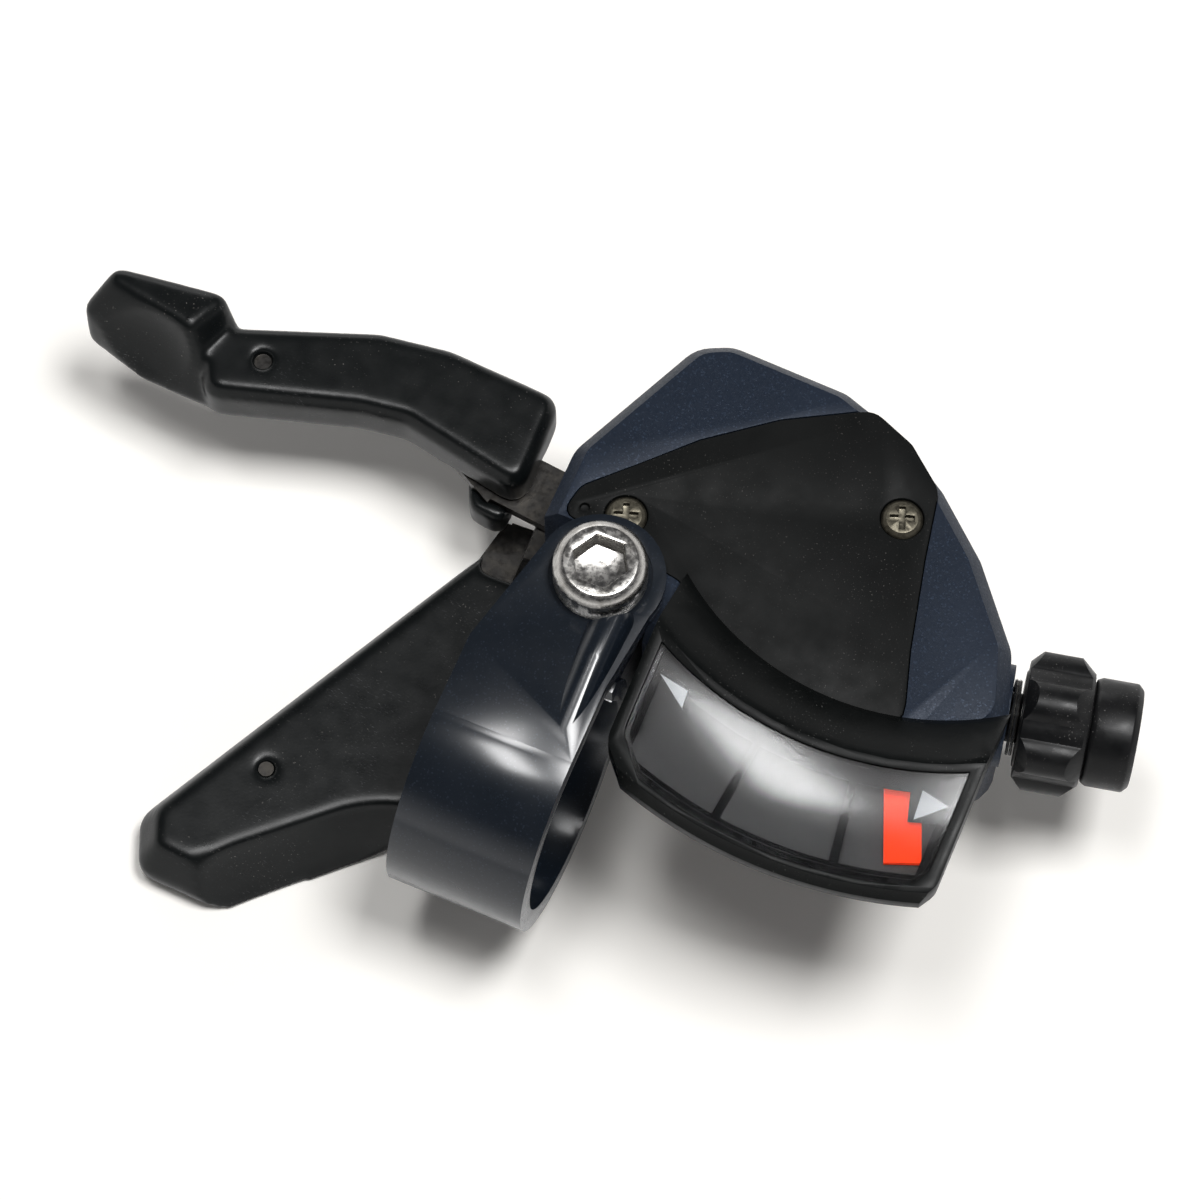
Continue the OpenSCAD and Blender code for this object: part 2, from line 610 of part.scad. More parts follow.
// The thumb's face: its middle, the way it faces and the way it runs
thumb_face = [-20.8, -12, -16.9];
thumb_out = unit([0.66, -0.56, 0.5]);
thumb_along = unit([7, 6.4, 0]);
dish_r = 16;
dish_depth = 0.75;
thumb_slot_w = 7.2;
thumb_rivet_r = 0.8;
module thumb_paddle() {
    color("#151618") difference() {
        hull() {
            for (c = thumb_foot) {
                translate([c.x, c.y, thumb_top - thumb_h + paddle_round]) cylinder(r = c.z, h = 1.6, $fn = 24);
                translate([c.x, c.y, thumb_top - thumb_h]) cylinder(r = c.z - paddle_round * 0.6, h = 1, $fn = 24);
            }
            for (c = thumb_crown) {
                translate([c.x, c.y, thumb_top - paddle_round - 0.6]) cylinder(r = c.z, h = 0.6, $fn = 24);
                translate([c.x, c.y, thumb_top - 1]) cylinder(r = c.z - paddle_round * 0.6, h = 1, $fn = 24);
            }
        }
        for (t = [-5:1.25:5])
            translate(thumb_face + thumb_out * (dish_r - dish_depth) + thumb_along * t) sphere(r = dish_r);
        at(axle) rotate([0, 0, thumb_a]) translate([0, -thumb_slot_w / 2, thumb_low_z - e])
            cube([thumb_in_r + 6.1, thumb_slot_w, 12]);
        translate([0, 0, thumb_low_z - 0.05]) linear_extrude(thumb_plate_t + 0.1)
            polygon([[-9.1, 33], [-8.4, 24.5], [-22.9, -6.2], [-28.2, -3.1], [-15.4, 25], [-14.2, 33]]);
        at(thumb_rivet_p, thumb_top - 2) cylinder(r = thumb_rivet_r + 0.05, h = 5);
    }
}
thumb_rivet_p = [-25.6, -4.2];

module thumb_rivet() {
    color("gray") at(thumb_rivet_p, thumb_low_z + thumb_plate_t + 0.05) cylinder(r = thumb_rivet_r, h = 1.1);
}

module pawl(spin) {
    at(axle) rotate([0, 0, spin]) translate([0, 0, pawl_z]) difference() {
        hull() {
            translate([pawl_r, 0]) cylinder(r = 2, h = pawl_t, $fn = 32);
            at(polar(cable_r + 1.35, -30)) cylinder(r = 0.55, h = pawl_t, $fn = 16);
        }
        translate([pawl_r, 0, -1]) cylinder(r = pin_r + run, h = 10);
    }
}

module pawl_pin(spin, z0) {
    at(axle + polar(pawl_r, spin), z0) cylinder(r = pin_r, h = pin_top - z0);
}

module pawl_spring(spin) {
    at(axle + polar(pawl_r, spin), pawl_z + pawl_t + 0.05) coil(1.6, 0.25, pin_top - pawl_z - pawl_t, 2, 6, 16);
}

module pull_pawl() { color("gray") pawl(pull_angle); }
module pull_pawl_pin() { color("silver") pawl_pin(pull_angle, thumb_z); }
module pull_pawl_spring() { color("silver") pawl_spring(pull_angle); }
module hold_pawl() { color("gray") pawl(hold_angle); }
module hold_pawl_pin() { color("silver") pawl_pin(hold_angle, base_z); }
module hold_pawl_spring() { color("silver") pawl_spring(hold_angle); }

// The release lever: a flat plate on the axle, with a bent moulding outside the casing
release_a = 174;
release_top = -0.5;
release_path = [[-24, 36.2], [-44, 32.6]];
module release_lever_plate() {
    color("silver") difference() {
        translate([0, 0, release_z]) linear_extrude(release_plate_t) {
            at(axle) circle(r = 7);
            at(axle) rotate(release_a) translate([0, -3.2]) square([32, 6.4]);
            polygon([[-13, 34.8], [-24, 38.6], [-44, 34.4], [-44, 30.8], [-25, 34.4], [-15, 29]]);
        }
        at(axle, release_z - 1) cylinder(r = axle_r + run, h = 10);
    }
}

module rounded_block(corners, z0, h, soft) {
    hull() for (c = corners) {
        translate([c.x, c.y, z0 + soft]) cylinder(r = c.z, h = h - 2 * soft, $fn = 24);
        translate([c.x, c.y, z0]) cylinder(r = c.z - soft * 0.6, h = h, $fn = 24);
    }
}

// The finger pad: a ridge along its top, and a face that slopes down and forwards from it
pad_r = 1.4;
pad_ridge = [[-58.6, 34.2, 1], [-50, 32.6, 1.2], [-48.6, 35.6, 0.7], [-56.8, 34.6, 0.6], [-60.4, 31.8, -2.2]];
pad_foot = [[-60, 31, -5.9], [-53.6, 29.2, -6.1], [-46.2, 29, -6.1], [-45.8, 34, -6.1], [-57.6, 33.8, -5.9]];
pad_face = [-54, 30, -2.4];
pad_out = unit([-0.06, -0.87, 0.48]);
pad_dish_r = 13;
pad_dish_depth = 0.8;

// The end of the arm turns down over the plate's root
root_h = 4.6;
module release_paddle() {
    z0 = release_top - release_h;
    color("#151618") difference() {
        union() {
            rounded_block([[-13.6, 39, 2], [-13.4, 31.8, 2], [-24.5, 39.6, 2], [-25.5, 34.2, 2]], z0, release_h,
                paddle_round);
            rounded_block([[-24.5, 39.6, 2], [-25.5, 34.2, 2], [-31.5, 38.6, 2], [-31, 33.4, 2]], z0, release_h,
                paddle_round);
            rounded_block([[-31.5, 38.6, 2], [-31, 33.4, 2], [-47, 32.8, 2], [-45, 29.2, 2]], z0, release_h,
                paddle_round);
            rounded_block([[-17.2, 32, 1.2], [-15.8, 29, 1.2], [-13.9, 28.8, 1.2], [-13.9, 37, 1.2]], z0 - 3.2,
                root_h, 0.6);
            hull() for (c = concat(pad_ridge, pad_foot)) translate(c) sphere(r = pad_r, $fn = 32);
        }
        translate(pad_face + pad_out * (pad_dish_r - pad_dish_depth)) sphere(r = pad_dish_r);
        translate([0, 0, release_z - 0.05]) linear_extrude(release_plate_t + 0.1) {
            at(axle) rotate(release_a) translate([0, -3.3]) square([32.2, 6.6]);
            polygon([[-13, 34.9], [-24, 38.7], [-44.1, 34.5], [-44.1, 30.7], [-25, 34.3], [-15, 28.9]]);
        }
        at(release_rivet_p, release_top - 3) cylinder(r = release_rivet_r + 0.05, h = 5);
    }
}
release_rivet_p = [-41.8, 32.6];
release_rivet_r = 0.95;

module release_rivet() {
    color("gray") at(release_rivet_p, release_top - 3) cylinder(r = release_rivet_r, h = 2.2);
}

// The adjuster: a threaded barrel with its collar, at these distances from the casing
thread_in = 7;
neck_x = 2.4;
neck_r = 4.9;
grip_l = 6.6;
grip_x = neck_x + 0.2;
end_x = grip_x + grip_l + 0.2;
end_l = 4.8;
module adjuster_barrel() {
    end_r = barrel_d / 2;
    color("#17181a") along_adjuster(0) difference() {
        union() {
            translate([0, 0, -thread_in]) cylinder(r = thread_d / 2, h = thread_in + neck_x + e);
            translate([0, 0, neck_x]) cylinder(r = neck_r, h = end_x - neck_x + e);
            translate([0, 0, end_x]) rotate_extrude() polygon([[0, 0], [end_r - 0.3, 0], [end_r, 0.6],
                [end_r, end_l - 0.6], [end_r - 0.6, end_l], [0, end_l]]);
        }
        translate([0, 0, -thread_in - 1]) cylinder(r = cable_d / 2 + 0.4, h = 40);
        translate([0, 0, end_x + end_l - socket_depth]) cylinder(r = socket_d / 2, h = 20);
    }
}

lobe_r = 2.3;
module adjuster_grip() {
    grip_r = grip_d / 2;
    color("#121314") along_adjuster(grip_x) difference() {
        intersection() {
            rotate_extrude() polygon([[0, 0], [grip_r - 1.2, 0], [grip_r, 1.2], [grip_r, grip_l - 1.6],
                [grip_r - 1.4, grip_l], [0, grip_l]]);
            linear_extrude(grip_l + 1) union() {
                circle(r = grip_r - 1.1);
                for (i = [0:grip_lobes - 1]) rotate(i * 360 / grip_lobes)
                    translate([grip_r - lobe_r, 0]) circle(r = lobe_r, $fn = 32);
            }
        }
        translate([0, 0, -1]) cylinder(r = neck_r, h = grip_l + 2);
    }
}

module adjuster_spring() {
    color("silver") along_adjuster(neck_x - 1.15) coil(3.7, 0.18, 1.1, 2, 6, 20);
}

base_bracket();
base_screws();
clamp_band();
clamp_bolt();
housing();
cover_plate();
cover_screws();
window_bezel();
window_lens();
indicator_arm();
main_axle();
axle_washer();
axle_nut();
spring_cap();
thumb_spring();
cable_spool();
thumb_lever_plate();
thumb_paddle();
thumb_rivet();
pull_pawl();
pull_pawl_pin();
pull_pawl_spring();
release_lever_plate();
release_paddle();
release_rivet();
hold_pawl();
hold_pawl_pin();
hold_pawl_spring();
adjuster_barrel();
adjuster_grip();
adjuster_spring();
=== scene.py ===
import json
import math
import bpy
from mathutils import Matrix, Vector

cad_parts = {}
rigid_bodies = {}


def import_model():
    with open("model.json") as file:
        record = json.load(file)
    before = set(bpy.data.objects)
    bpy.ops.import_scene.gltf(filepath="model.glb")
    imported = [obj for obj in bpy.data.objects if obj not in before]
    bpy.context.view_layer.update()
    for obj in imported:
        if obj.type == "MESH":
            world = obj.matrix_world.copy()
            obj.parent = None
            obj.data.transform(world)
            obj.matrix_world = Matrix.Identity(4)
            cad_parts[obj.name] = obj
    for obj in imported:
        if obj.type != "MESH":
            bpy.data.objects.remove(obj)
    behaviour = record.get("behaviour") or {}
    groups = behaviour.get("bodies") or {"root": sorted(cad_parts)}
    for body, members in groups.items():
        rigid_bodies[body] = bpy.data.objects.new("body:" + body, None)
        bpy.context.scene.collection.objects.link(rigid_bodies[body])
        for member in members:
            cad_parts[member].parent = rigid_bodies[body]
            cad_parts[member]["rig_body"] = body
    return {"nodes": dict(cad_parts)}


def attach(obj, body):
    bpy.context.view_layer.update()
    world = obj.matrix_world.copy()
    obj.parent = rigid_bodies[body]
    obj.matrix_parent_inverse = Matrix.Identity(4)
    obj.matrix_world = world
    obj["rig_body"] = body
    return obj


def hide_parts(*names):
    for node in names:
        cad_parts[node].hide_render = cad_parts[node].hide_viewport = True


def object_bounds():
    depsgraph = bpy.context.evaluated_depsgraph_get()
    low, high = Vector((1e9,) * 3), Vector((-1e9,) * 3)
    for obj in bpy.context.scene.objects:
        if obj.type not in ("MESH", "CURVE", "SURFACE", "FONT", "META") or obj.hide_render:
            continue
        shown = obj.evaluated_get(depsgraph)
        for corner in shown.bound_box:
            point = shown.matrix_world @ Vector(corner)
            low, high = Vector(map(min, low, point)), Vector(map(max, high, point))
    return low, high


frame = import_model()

MM = 0.001
nodes = frame["nodes"]
cad_low, cad_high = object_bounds()


# Modelling helpers

WELD_DISTANCE = 0.004 * MM
FLAT_ANGLE = math.radians(1.5)
EDGE_ANGLE = math.radians(28)
SMOOTH_ANGLE = math.radians(40)


def deselect():
    bpy.ops.object.select_all(action="DESELECT")


def only(piece):
    """Selects one piece and makes it the active one."""
    deselect()
    piece.select_set(True)
    bpy.context.view_layer.objects.active = piece


def start_editing(piece, selection):
    """Opens a piece in edit mode, with SELECT for all of its mesh or DESELECT for none."""
    only(piece)
    bpy.ops.object.mode_set(mode="EDIT")
    bpy.ops.mesh.select_all(action=selection)


def stop_editing():
    bpy.ops.object.mode_set(mode="OBJECT")


def modify(piece, kind, **values):
    """Adds a modifier with these values and applies it."""
    only(piece)
    bpy.ops.object.modifier_add(type=kind)
    changer = piece.modifiers[-1]
    for key, value in values.items():
        setattr(changer, key, value)
    bpy.ops.object.modifier_apply(modifier=changer.name)


def settle(piece):
    """Puts the piece's place into its mesh."""
    only(piece)
    bpy.ops.object.transform_apply(location=True, rotation=True, scale=True)


def fit_out(piece, name, material, body):
    """Gives a finished piece its name, finish, material slot and body."""
    piece.name = name
    piece.data.name = name
    piece.data.materials.clear()
    piece.data.materials.append(material)
    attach(piece, body)


def stand_in(piece, node, name, material):
    """Lets a finished piece take a solid's place, with its slot and its body."""
    fit_out(piece, name, material, nodes[node]["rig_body"])
    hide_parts(node)


def twin(node):
    """A welded copy of a solid, with its flat faces made whole."""
    piece = bpy.data.objects.new(node, nodes[node].data.copy())
    bpy.context.scene.collection.objects.link(piece)
    only(piece)
    if piece.data.has_custom_normals:
        bpy.ops.mesh.customdata_custom_splitnormals_clear()
    start_editing(piece, "SELECT")
    bpy.ops.mesh.remove_doubles(threshold=WELD_DISTANCE)
    bpy.ops.mesh.dissolve_limited(angle_limit=FLAT_ANGLE)
    stop_editing()
    return piece


def soften(node, name, material, width, segments=2):
    """The solid with its edges rounded as moulding, casting or painting leaves them."""
    piece = twin(node)
    modify(piece, "BEVEL", width=width * MM, segments=segments, limit_method="ANGLE",
           angle_limit=EDGE_ANGLE, use_clamp_overlap=True, miter_outer="MITER_ARC")
    only(piece)
    bpy.ops.object.shade_smooth_by_angle(angle=SMOOTH_ANGLE)
    stand_in(piece, node, name, material)


def melt(node, name, material, cell, rounds):
    """The solid with its creases and joins flowing into each other, as in a moulding."""
    piece = twin(node)
    modify(piece, "REMESH", mode="VOXEL", voxel_size=cell * MM, use_smooth_shade=True)
    modify(piece, "SMOOTH", factor=0.5, iterations=rounds)
    modify(piece, "SUBSURF", levels=1, render_levels=1)
    only(piece)
    bpy.ops.object.shade_smooth()
    stand_in(piece, node, name, material)


# Finishes. Their sizes and depths are in millimetres.

EVEN = (1, 1, 1)
ARC_CENTRE = Vector((27.8, 45, 0)) * MM
LENS_MIDDLE = 36.8 * MM
LENS_HALF = 11 * MM


class Finish:
    """A material under construction: its node tree, shader and object coordinates."""

    def __init__(self, name, colour, roughness, metallic=0.0, coat=0.0, coat_roughness=0.1,
                 specular=0.5):
        self.material = bpy.data.materials.new(name)
        self.material.use_nodes = True
        self.tree = self.material.node_tree
        self.shader = self.tree.nodes["Principled BSDF"]
        self.place = self.add("TexCoord").outputs["Object"]
        self.colour = (*colour, 1.0)
        self.shader.inputs["Base Color"].default_value = self.colour
        self.shader.inputs["Roughness"].default_value = roughness
        self.shader.inputs["Metallic"].default_value = metallic
        self.shader.inputs["Coat Weight"].default_value = coat
        self.shader.inputs["Coat Roughness"].default_value = coat_roughness
        self.shader.inputs["Specular IOR Level"].default_value = specular
        self.last_colour = None
        self.last_normal = None

    def add(self, kind):
        return self.tree.nodes.new("ShaderNode" + kind)

    def link(self, source, target):
        self.tree.links.new(source, target)

    def noise(self, size, detail, stretch=EVEN):
        """Noise whose features are about this size across."""
        texture = self.add("TexNoise")
        texture.inputs["Scale"].default_value = 1 / (size * MM)
        texture.inputs["Detail"].default_value = detail
        if stretch == EVEN:
            self.link(self.place, texture.inputs["Vector"])
        else:
            mapping = self.add("Mapping")
            mapping.inputs["Scale"].default_value = stretch
            self.link(self.place, mapping.inputs["Vector"])
            self.link(mapping.outputs["Vector"], texture.inputs["Vector"])
        return texture.outputs["Fac"]

    def flakes(self, size):
        """A random value on each small cell, as the flakes in a paint have."""
        texture = self.add("TexVoronoi")
        texture.inputs["Scale"].default_value = 1 / (size * MM)
        self.link(self.place, texture.inputs["Vector"])
        split = self.add("SeparateColor")
        self.link(texture.outputs["Color"], split.inputs["Color"])
        return split.outputs["Red"]

    def ramp(self, source, low, high, to_low=0.0, to_high=1.0):
        """Carries low to to_low and high to to_high, and holds those values beyond."""
        spread = self.add("MapRange")
        values = {"From Min": low, "From Max": high, "To Min": to_low, "To Max": to_high}
        for socket, value in values.items():
            spread.inputs[socket].default_value = value
        self.link(source, spread.inputs["Value"])
        return spread.outputs["Result"]

    def times(self, a, b):
        product = self.add("Math")
        product.operation = "MULTIPLY"
        self.link(a, product.inputs[0])
        self.link(b, product.inputs[1])
        return product.outputs[0]

    def dome(self, centre, middle, half):
        """0 at the distance middle from the upright line through centre, and -1 at half from there."""
        flat = self.add("VectorMath")
        flat.operation = "MULTIPLY"
        flat.inputs[1].default_value = (1, 1, 0)
        self.link(self.place, flat.inputs[0])
        reach = self.add("VectorMath")
        reach.operation = "DISTANCE"
        reach.inputs[1].default_value = (centre.x, centre.y, 0)
        self.link(flat.outputs["Vector"], reach.inputs[0])
        offset = self.ramp(reach.outputs["Value"], middle - half, middle + half, -1, 1)
        return self.ramp(self.times(offset, offset), 0, 1, 0, -1)

    def tint(self, mask, colour):
        """Lays another colour over the surface where the mask is 1."""
        mix = self.add("Mix")
        mix.data_type = "RGBA"
        self.link(mask, mix.inputs["Factor"])
        if self.last_colour is None:
            mix.inputs["A"].default_value = self.colour
        else:
            self.link(self.last_colour, mix.inputs["A"])
        mix.inputs["B"].default_value = (*colour, 1.0)
        self.last_colour = mix.outputs["Result"]
        self.link(self.last_colour, self.shader.inputs["Base Color"])

    def mottle(self, colour, size, detail=3, low=0.4, high=0.8):
        """Lays another colour over soft patches of about this size."""
        self.tint(self.ramp(self.noise(size, detail), low, high), colour)

    def speckle(self, colour, size, spread, detail=1, peak=0.70, start=0.45):
        """Lays dust specks of this size over areas that are about spread across."""
        specks = self.ramp(self.noise(size, detail), peak, peak + 0.08)
        areas = self.ramp(self.noise(spread, 2), start, 0.7)
        self.tint(self.times(specks, areas), colour)

    def shine(self, source, low, high, to_low, to_high):
        """Lets the roughness follow a source, from to_low at low to to_high at high."""
        self.link(self.ramp(source, low, high, to_low, to_high), self.shader.inputs["Roughness"])

    def wear(self, size, smoothest, roughest, detail=5, high=0.7, stretch=EVEN):
        """Varies the roughness over patches of about this size."""
        self.shine(self.noise(size, detail, stretch), 0.3, high, smoothest, roughest)

    def relief(self, height, depth, strength):
        """Raises the surface by this depth where the height is 1."""
        bump = self.add("Bump")
        bump.inputs["Strength"].default_value = strength
        bump.inputs["Distance"].default_value = depth * MM
        self.link(height, bump.inputs["Height"])
        if self.last_normal is not None:
            self.link(self.last_normal, bump.inputs["Normal"])
        self.last_normal = bump.outputs["Normal"]
        self.link(self.last_normal, self.shader.inputs["Normal"])

    def grain(self, size, depth, strength=0.6, detail=2, stretch=EVEN):
        """Makes the surface finely uneven."""
        self.relief(self.noise(size, detail, stretch), depth, strength)


def metallic_case_paint():
    paint = Finish("metallic_case_paint", (0.0125, 0.0195, 0.0340), roughness=0.46, metallic=0.20,
                   coat_roughness=0.30, specular=0.20)
    paint.mottle((0.0095, 0.0150, 0.0265), size=9, low=0.35, high=0.75)
    flakes = paint.flakes(0.16)
    paint.tint(paint.ramp(flakes, 0.86, 1.0), (0.026, 0.038, 0.062))
    paint.shine(flakes, 0, 1, 0.50, 0.36)
    paint.relief(flakes, depth=0.010, strength=0.5)
    paint.grain(size=0.7, depth=0.012)
    return paint.material


def gloss_band_paint():
    paint = Finish("gloss_band_paint", (0.0055, 0.0085, 0.0130), roughness=0.36, metallic=0.05,
                   coat=1.0, coat_roughness=0.18, specular=0.12)
    paint.mottle((0.0085, 0.0120, 0.0180), size=6, low=0.3)
    paint.tint(paint.ramp(paint.flakes(0.14), 0.92, 1.0), (0.016, 0.022, 0.033))
    paint.wear(size=2.5, smoothest=0.27, roughest=0.38, detail=4)
    paint.grain(size=0.9, depth=0.010, strength=0.7)
    return paint.material


def matt_cover_black():
    paint = Finish("matt_cover_black", (0.0045, 0.0050, 0.0050), roughness=0.55, specular=0.09)
    paint.mottle((0.0068, 0.0073, 0.0072), size=5, detail=4, low=0.35)
    paint.speckle((0.09, 0.085, 0.08), size=0.22, spread=8, detail=2, peak=0.66, start=0.4)
    paint.wear(size=3, smoothest=0.44, roughest=0.60)
    paint.grain(size=0.18, depth=0.006)
    return paint.material


def satin_lever_plastic():
    plastic = Finish("satin_lever_plastic", (0.0034, 0.0044, 0.0046), roughness=0.30, specular=0.28)
    plastic.mottle((0.0048, 0.0058, 0.0060), size=7, detail=4, low=0.35)
    scratches = plastic.ramp(plastic.noise(0.5, 4, (1, 5, 1)), 0.62, 0.72)
    worn_areas = plastic.ramp(plastic.noise(9, 2), 0.52, 0.68)
    plastic.tint(plastic.times(scratches, worn_areas), (0.060, 0.060, 0.064))
    plastic.speckle((0.16, 0.15, 0.14), size=0.25, spread=6)
    plastic.wear(size=2.2, smoothest=0.27, roughest=0.36, high=0.75)
    plastic.grain(size=0.25, depth=0.009)
    return plastic.material


def smooth_bezel_black():
    plastic = Finish("smooth_bezel_black", (0.0030, 0.0036, 0.0036), roughness=0.30, specular=0.09)
    plastic.mottle((0.0048, 0.0054, 0.0054), size=6, detail=4)
    plastic.speckle((0.12, 0.12, 0.115), size=0.2, spread=5)
    plastic.wear(size=3, smoothest=0.25, roughest=0.38)
    plastic.grain(size=0.4, depth=0.006, strength=0.5)
    return plastic.material


def clear_window():
    """Clear plastic, whose clear coat alone shows the room, as on a gently domed lens."""
    clear = Finish("clear_window", (0.95, 0.96, 0.97), roughness=0.02, coat=0.70,
                   coat_roughness=0.16, specular=0.1)
    clear.shader.inputs["Transmission Weight"].default_value = 1.0
    clear.shader.inputs["IOR"].default_value = 1.03
    clear.wear(size=2, smoothest=0.01, roughest=0.05, detail=4, high=0.8)
    clear.grain(size=4, depth=0.015, strength=0.3)
    clear.relief(clear.dome(ARC_CENTRE, LENS_MIDDLE, LENS_HALF), depth=1.5, strength=1.0)
    clear.link(clear.last_normal, clear.shader.inputs["Coat Normal"])
    return clear.material


def window_print():
    ink = Finish("window_print", (0.003, 0.003, 0.0032), roughness=0.6, specular=0.05)
    ink.mottle((0.0045, 0.0045, 0.005), size=2)
    ink.grain(size=0.2, depth=0.001, strength=0.3)
    return ink.material


def backing_plastic():
    plastic = Finish("backing_plastic", (0.024, 0.024, 0.023), roughness=0.5)
    plastic.mottle((0.018, 0.018, 0.018), size=5, high=0.7)
    plastic.grain(size=0.3, depth=0.006, strength=0.5)
    return plastic.material


def pale_print():
    ink = Finish("pale_print", (0.76, 0.78, 0.80), roughness=0.5)
    ink.mottle((0.70, 0.72, 0.74), size=0.8, low=0.45)
    ink.grain(size=0.2, depth=0.001, strength=0.3)
    return ink.material


def flag_plastic():
    """Bright red plastic that looks fluorescent, with a painted glow of its own: emission that makes
    it brighter than the lamps alone would.
    """
    plastic = Finish("flag_plastic", (1.0, 0.040, 0.001), roughness=0.5, specular=0.1)
    plastic.mottle((0.92, 0.035, 0.001), size=3)
    # Painted glow: the flag gives off light of its own, though it is no lamp.
    plastic.shader.inputs["Emission Color"].default_value = (1.0, 0.045, 0.001, 1.0)
    plastic.shader.inputs["Emission Strength"].default_value = 0.45
    plastic.grain(size=0.3, depth=0.004, strength=0.5)
    return plastic.material


def bright_bolt_steel():
    steel = Finish("bright_bolt_steel", (0.60, 0.585, 0.56), roughness=0.26, metallic=1.0)
    steel.mottle((0.30, 0.285, 0.26), size=1.6, detail=4, low=0.5)
    steel.wear(size=0.5, smoothest=0.16, roughest=0.36, stretch=(1, 1, 6))
    steel.grain(size=0.25, depth=0.006, detail=3, stretch=(1, 1, 8))
    return steel.material


def dull_screw_steel():
    steel = Finish("dull_screw_steel", (0.115, 0.105, 0.080), roughness=0.42, metallic=0.9)
    steel.mottle((0.045, 0.040, 0.030), size=0.6, detail=4, low=0.45, high=0.75)
    steel.wear(size=0.4, smoothest=0.32, roughest=0.55, detail=4)
    steel.grain(size=0.2, depth=0.012, strength=0.7, detail=3)
    return steel.material


def zinc_plate():
    steel = Finish("zinc_plate", (0.42, 0.41, 0.38), roughness=0.34, metallic=1.0)
    steel.mottle((0.30, 0.29, 0.27), size=2.5, detail=4, low=0.45)
    steel.wear(size=0.7, smoothest=0.26, roughest=0.46)
    steel.grain(size=0.3, depth=0.006, detail=3, stretch=(1, 6, 1))
    return steel.material


def black_steel():
    steel = Finish("black_steel", (0.040, 0.038, 0.036), roughness=0.38, metallic=0.8)
    steel.mottle((0.075, 0.068, 0.058), size=1.5, detail=4, low=0.45)
    steel.wear(size=0.6, smoothest=0.28, roughest=0.50, detail=4)
    steel.grain(size=0.3, depth=0.010, detail=3)
    return steel.material


def spring_wire():
    steel = Finish("spring_wire", (0.50, 0.49, 0.47), roughness=0.26, metallic=1.0)
    steel.mottle((0.34, 0.33, 0.31), size=0.8, low=0.5)
    steel.grain(size=0.15, depth=0.005, strength=0.5, detail=3)
    return steel.material


def base_casting():
    metal = Finish("base_casting", (0.085, 0.088, 0.095), roughness=0.48, metallic=0.7)
    metal.mottle((0.060, 0.062, 0.068), size=4, detail=4)
    metal.wear(size=0.6, smoothest=0.40, roughest=0.58, detail=4)
    metal.grain(size=0.35, depth=0.025, strength=0.7, detail=4)
    return metal.material


def spool_plastic():
    plastic = Finish("spool_plastic", (0.19, 0.19, 0.185), roughness=0.46)
    plastic.mottle((0.15, 0.15, 0.147), size=3)
    plastic.grain(size=0.3, depth=0.006, strength=0.5)
    return plastic.material


def adjuster_plastic():
    plastic = Finish("adjuster_plastic", (0.0045, 0.0048, 0.0052), roughness=0.32, specular=0.24)
    plastic.mottle((0.0075, 0.0075, 0.0080), size=4, detail=4)
    plastic.speckle((0.15, 0.145, 0.14), size=0.2, spread=4, peak=0.68)
    plastic.wear(size=1.5, smoothest=0.28, roughest=0.46)
    plastic.grain(size=0.25, depth=0.008)
    return plastic.material


case_paint = metallic_case_paint()
band_paint = gloss_band_paint()
cover_black = matt_cover_black()
lever_plastic = satin_lever_plastic()
bezel_black = smooth_bezel_black()
window_clear = clear_window()
print_black = window_print()
print_pale = pale_print()
backing_grey = backing_plastic()
flag_red = flag_plastic()
bolt_steel = bright_bolt_steel()
screw_steel = dull_screw_steel()
plated = zinc_plate()
lever_steel = black_steel()
wire = spring_wire()
casting = base_casting()
spool_grey = spool_plastic()
adjuster_black = adjuster_plastic()

# Solids that stay as they are and only get a finish

own_finish = {
    "base_bracket": casting,
    "base_screws": plated,
    "window_lens": window_clear,
    "indicator_arm": flag_red,
    "main_axle": plated,
    "axle_washer": plated,
    "axle_nut": plated,
    "thumb_spring": wire,
    "cable_spool": spool_grey,
    "thumb_lever_plate": lever_steel,
    "thumb_rivet": lever_steel,
    "pull_pawl": lever_steel,
    "pull_pawl_pin": plated,
    "pull_pawl_spring": wire,
    "release_lever_plate": lever_steel,
    "release_rivet": lever_steel,
    "hold_pawl": lever_steel,
    "hold_pawl_pin": plated,
    "hold_pawl_spring": wire,
    "adjuster_spring": wire,
}
for node, material in own_finish.items():
    nodes[node].data.materials.clear()
    nodes[node].data.materials.append(material)


# The casing, its cover and the spring's cap. Edge widths and cells are in millimetres.

soften("housing", "casing_shell", case_paint, width=0.5, segments=3)
soften("cover_plate", "black_cover", cover_black, width=0.18)
soften("cover_screws", "cross_head_screws", screw_steel, width=0.08)
soften("spring_cap", "spring_housing_cap", cover_black, width=0.3)

# The clamp

soften("clamp_band", "painted_band", band_paint, width=0.45, segments=3)
soften("clamp_bolt", "socket_bolt", bolt_steel, width=0.12)

# The levers' mouldings

melt("release_paddle", "release_lever_moulding", lever_plastic, cell=0.37, rounds=12)
melt("thumb_paddle", "thumb_lever_moulding", lever_plastic, cell=0.43, rounds=10)

# The window unit, with the print under its lens. Radii and angles are about the arc's centre,
# and the angles are in degrees from its -Y side.

